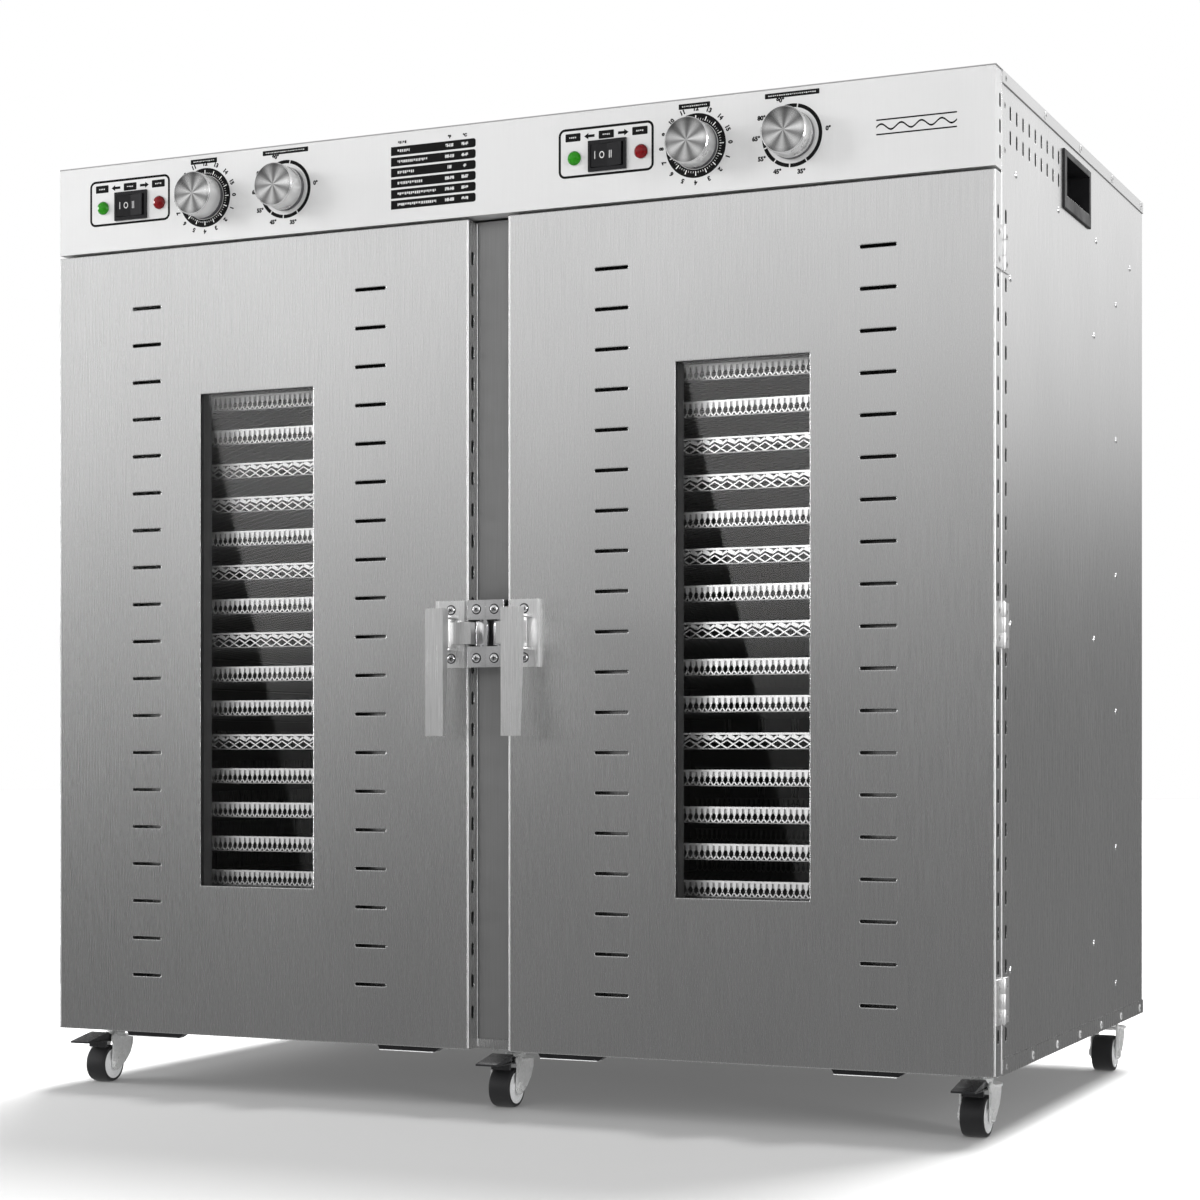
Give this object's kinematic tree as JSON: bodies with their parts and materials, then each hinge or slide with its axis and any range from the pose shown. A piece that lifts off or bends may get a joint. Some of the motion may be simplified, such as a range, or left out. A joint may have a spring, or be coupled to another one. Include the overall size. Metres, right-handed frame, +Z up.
{
  "type": "food dehydrator",
  "caption": "Wide stainless cabinet food dehydrator on swivel casters: side-by-side windowed doors with hung mesh trays, centre latch levers, knobs and rockers.",
  "frame": {"origin": "on the floor under the middle of the bounding box", "axes": "+X to the object's right as seen from the front, +Y to the rear, +Z up; the doors face -Y"},
  "size_m": [0.8994, 0.5854, 0.852],
  "materials": {
    "brushed_panel": "vertical brushed grain",
    "brushed_fascia": "fine brushed grain, lighter",
    "inner_sheet": "plain mill finish",
    "polished_steel": "polished",
    "latch_steel": "brushed along the blade",
    "black_plastic": "satin moulded",
    "green_lens": "clear gloss lens",
    "red_lens": "clear gloss lens",
    "control_plastic": "moulded",
    "heater_sheath": "heat-darkened",
    "motor_paint": "enamel",
    "tray_mesh": "bright welded mesh",
    "window_glass": "dark tinted",
    "spun_aluminium": "spun face, polished chamfer",
    "fan_sheet": "satin",
    "caster_zinc": "zinc plated",
    "tyre_rubber": "matt rubber",
    "pedal_black": "satin enamel"
  },
  "bodies": {
    "cabinet": {"left_side_panel": "brushed_panel", "right_side_panel": "brushed_panel", "top_cover": "brushed_panel", "base_pan": "brushed_panel", "back_panel": "brushed_panel", "center_divider": "inner_sheet", "control_fascia": "brushed_fascia", "control_bay_floor": "inner_sheet", "tray_rails": "inner_sheet", "rear_baffles": "inner_sheet", "cabinet_screws": "polished_steel", "side_rivets": "polished_steel", "side_grips": "black_plastic", "rocker_housings": "black_plastic", "green_lamps": "green_lens", "red_lamps": "red_lens", "control_units": "control_plastic", "heating_elements": "heater_sheath", "fan_motors": "motor_paint", "power_inlet": "black_plastic", "cabinet_hinge_leaves": "polished_steel", "latch_keepers": "polished_steel", "left_trays": "tray_mesh", "right_trays": "tray_mesh", "caster_plates": "caster_zinc"},
    "left_door": {"left_door": "brushed_panel", "left_window": "window_glass", "left_door_hinge_leaves": "polished_steel", "left_latch_bracket": "latch_steel", "left_door_screws": "polished_steel"},
    "right_door": {"right_door": "brushed_panel", "right_window": "window_glass", "right_door_hinge_leaves": "polished_steel", "right_latch_bracket": "latch_steel", "right_door_screws": "polished_steel"},
    "left_latch_lever": {"left_latch_lever": "latch_steel"},
    "right_latch_lever": {"right_latch_lever": "latch_steel"},
    "left_timer_knob": {"left_timer_knob": "spun_aluminium"},
    "left_thermostat_knob": {"left_thermostat_knob": "spun_aluminium"},
    "left_rocker": {"left_rocker": "black_plastic"},
    "left_fan": {"left_fan": "fan_sheet"},
    "right_timer_knob": {"right_timer_knob": "spun_aluminium"},
    "right_thermostat_knob": {"right_thermostat_knob": "spun_aluminium"},
    "right_rocker": {"right_rocker": "black_plastic"},
    "right_fan": {"right_fan": "fan_sheet"},
    "front_left_fork": {"front_left_fork": "caster_zinc"},
    "front_left_wheel": {"front_left_wheel": "tyre_rubber"},
    "front_left_pedal": {"front_left_pedal": "pedal_black"},
    "front_center_fork": {"front_center_fork": "caster_zinc"},
    "front_center_wheel": {"front_center_wheel": "tyre_rubber"},
    "front_center_pedal": {"front_center_pedal": "pedal_black"},
    "front_right_fork": {"front_right_fork": "caster_zinc"},
    "front_right_wheel": {"front_right_wheel": "tyre_rubber"},
    "front_right_pedal": {"front_right_pedal": "pedal_black"},
    "rear_left_fork": {"rear_left_fork": "caster_zinc"},
    "rear_left_wheel": {"rear_left_wheel": "tyre_rubber"},
    "rear_center_fork": {"rear_center_fork": "caster_zinc"},
    "rear_center_wheel": {"rear_center_wheel": "tyre_rubber"},
    "rear_right_fork": {"rear_right_fork": "caster_zinc"},
    "rear_right_wheel": {"rear_right_wheel": "tyre_rubber"}
  },
  "joints": [
    {"name": "left_door_hinge", "type": "hinge", "parent": "cabinet", "child": "left_door", "pos_m": [-0.4479, -0.2416, 0.411], "axis": [0, 0, -1], "range_deg": [0, 170]},
    {"name": "left_latch_pivot", "type": "hinge", "parent": "left_door", "child": "left_latch_lever", "pos_m": [-0.036, -0.2727, 0.412], "axis": [0, 0, -1], "range_deg": [0, 75]},
    {"name": "right_door_hinge", "type": "hinge", "parent": "cabinet", "child": "right_door", "pos_m": [0.4479, -0.2416, 0.411], "axis": [0, 0, 1], "range_deg": [0, 170]},
    {"name": "right_latch_pivot", "type": "hinge", "parent": "right_door", "child": "right_latch_lever", "pos_m": [0.036, -0.2727, 0.412], "axis": [0, 0, 1], "range_deg": [0, 75]},
    {"name": "left_timer_turn", "type": "hinge", "parent": "cabinet", "child": "left_timer_knob", "pos_m": [-0.287, -0.2707, 0.812], "axis": [0, 1, 0], "range_deg": [0, 337.5]},
    {"name": "left_thermostat_turn", "type": "hinge", "parent": "cabinet", "child": "left_thermostat_knob", "pos_m": [-0.2025, -0.2707, 0.812], "axis": [0, 1, 0], "range_deg": [0, 270]},
    {"name": "left_rocker_tilt", "type": "hinge", "parent": "cabinet", "child": "left_rocker", "pos_m": [-0.3669, -0.2577, 0.812], "axis": [0, 0, 1], "range_deg": [-12, 12]},
    {"name": "left_fan_spin", "type": "hinge", "parent": "cabinet", "child": "left_fan", "pos_m": [-0.2227, 0.2343, 0.411], "axis": [0, 1, 0], "continuous": true},
    {"name": "right_timer_turn", "type": "hinge", "parent": "cabinet", "child": "right_timer_knob", "pos_m": [0.192, -0.2707, 0.812], "axis": [0, 1, 0], "range_deg": [0, 337.5]},
    {"name": "right_thermostat_turn", "type": "hinge", "parent": "cabinet", "child": "right_thermostat_knob", "pos_m": [0.2765, -0.2707, 0.812], "axis": [0, 1, 0], "range_deg": [0, 270]},
    {"name": "right_rocker_tilt", "type": "hinge", "parent": "cabinet", "child": "right_rocker", "pos_m": [0.1121, -0.2577, 0.812], "axis": [0, 0, 1], "range_deg": [-12, 12]},
    {"name": "right_fan_spin", "type": "hinge", "parent": "cabinet", "child": "right_fan", "pos_m": [0.2227, 0.2343, 0.411], "axis": [0, 1, 0], "continuous": true},
    {"name": "front_left_swivel", "type": "hinge", "parent": "cabinet", "child": "front_left_fork", "pos_m": [-0.421, -0.2077, 0.044], "axis": [0, 0, 1], "continuous": true},
    {"name": "front_left_roll", "type": "hinge", "parent": "front_left_fork", "child": "front_left_wheel", "pos_m": [-0.421, -0.2247, 0.017], "axis": [1, 0, 0], "continuous": true},
    {"name": "front_left_brake", "type": "hinge", "parent": "front_left_fork", "child": "front_left_pedal", "pos_m": [-0.421, -0.2277, 0.041], "axis": [1, 0, 0], "range_deg": [0, 8]},
    {"name": "front_center_swivel", "type": "hinge", "parent": "cabinet", "child": "front_center_fork", "pos_m": [0, -0.2077, 0.044], "axis": [0, 0, 1], "continuous": true},
    {"name": "front_center_roll", "type": "hinge", "parent": "front_center_fork", "child": "front_center_wheel", "pos_m": [0, -0.2247, 0.017], "axis": [1, 0, 0], "continuous": true},
    {"name": "front_center_brake", "type": "hinge", "parent": "front_center_fork", "child": "front_center_pedal", "pos_m": [0, -0.2277, 0.041], "axis": [1, 0, 0], "range_deg": [0, 8]},
    {"name": "front_right_swivel", "type": "hinge", "parent": "cabinet", "child": "front_right_fork", "pos_m": [0.421, -0.2077, 0.044], "axis": [0, 0, 1], "continuous": true},
    {"name": "front_right_roll", "type": "hinge", "parent": "front_right_fork", "child": "front_right_wheel", "pos_m": [0.421, -0.2247, 0.017], "axis": [1, 0, 0], "continuous": true},
    {"name": "front_right_brake", "type": "hinge", "parent": "front_right_fork", "child": "front_right_pedal", "pos_m": [0.421, -0.2277, 0.041], "axis": [1, 0, 0], "range_deg": [0, 8]},
    {"name": "rear_left_swivel", "type": "hinge", "parent": "cabinet", "child": "rear_left_fork", "pos_m": [-0.421, 0.2553, 0.044], "axis": [0, 0, 1], "continuous": true},
    {"name": "rear_left_roll", "type": "hinge", "parent": "rear_left_fork", "child": "rear_left_wheel", "pos_m": [-0.421, 0.2383, 0.017], "axis": [1, 0, 0], "continuous": true},
    {"name": "rear_center_swivel", "type": "hinge", "parent": "cabinet", "child": "rear_center_fork", "pos_m": [0, 0.2553, 0.044], "axis": [0, 0, 1], "continuous": true},
    {"name": "rear_center_roll", "type": "hinge", "parent": "rear_center_fork", "child": "rear_center_wheel", "pos_m": [0, 0.2383, 0.017], "axis": [1, 0, 0], "continuous": true},
    {"name": "rear_right_swivel", "type": "hinge", "parent": "cabinet", "child": "rear_right_fork", "pos_m": [0.421, 0.2553, 0.044], "axis": [0, 0, 1], "continuous": true},
    {"name": "rear_right_roll", "type": "hinge", "parent": "rear_right_fork", "child": "rear_right_wheel", "pos_m": [0.421, 0.2383, 0.017], "axis": [1, 0, 0], "continuous": true}
  ]
}
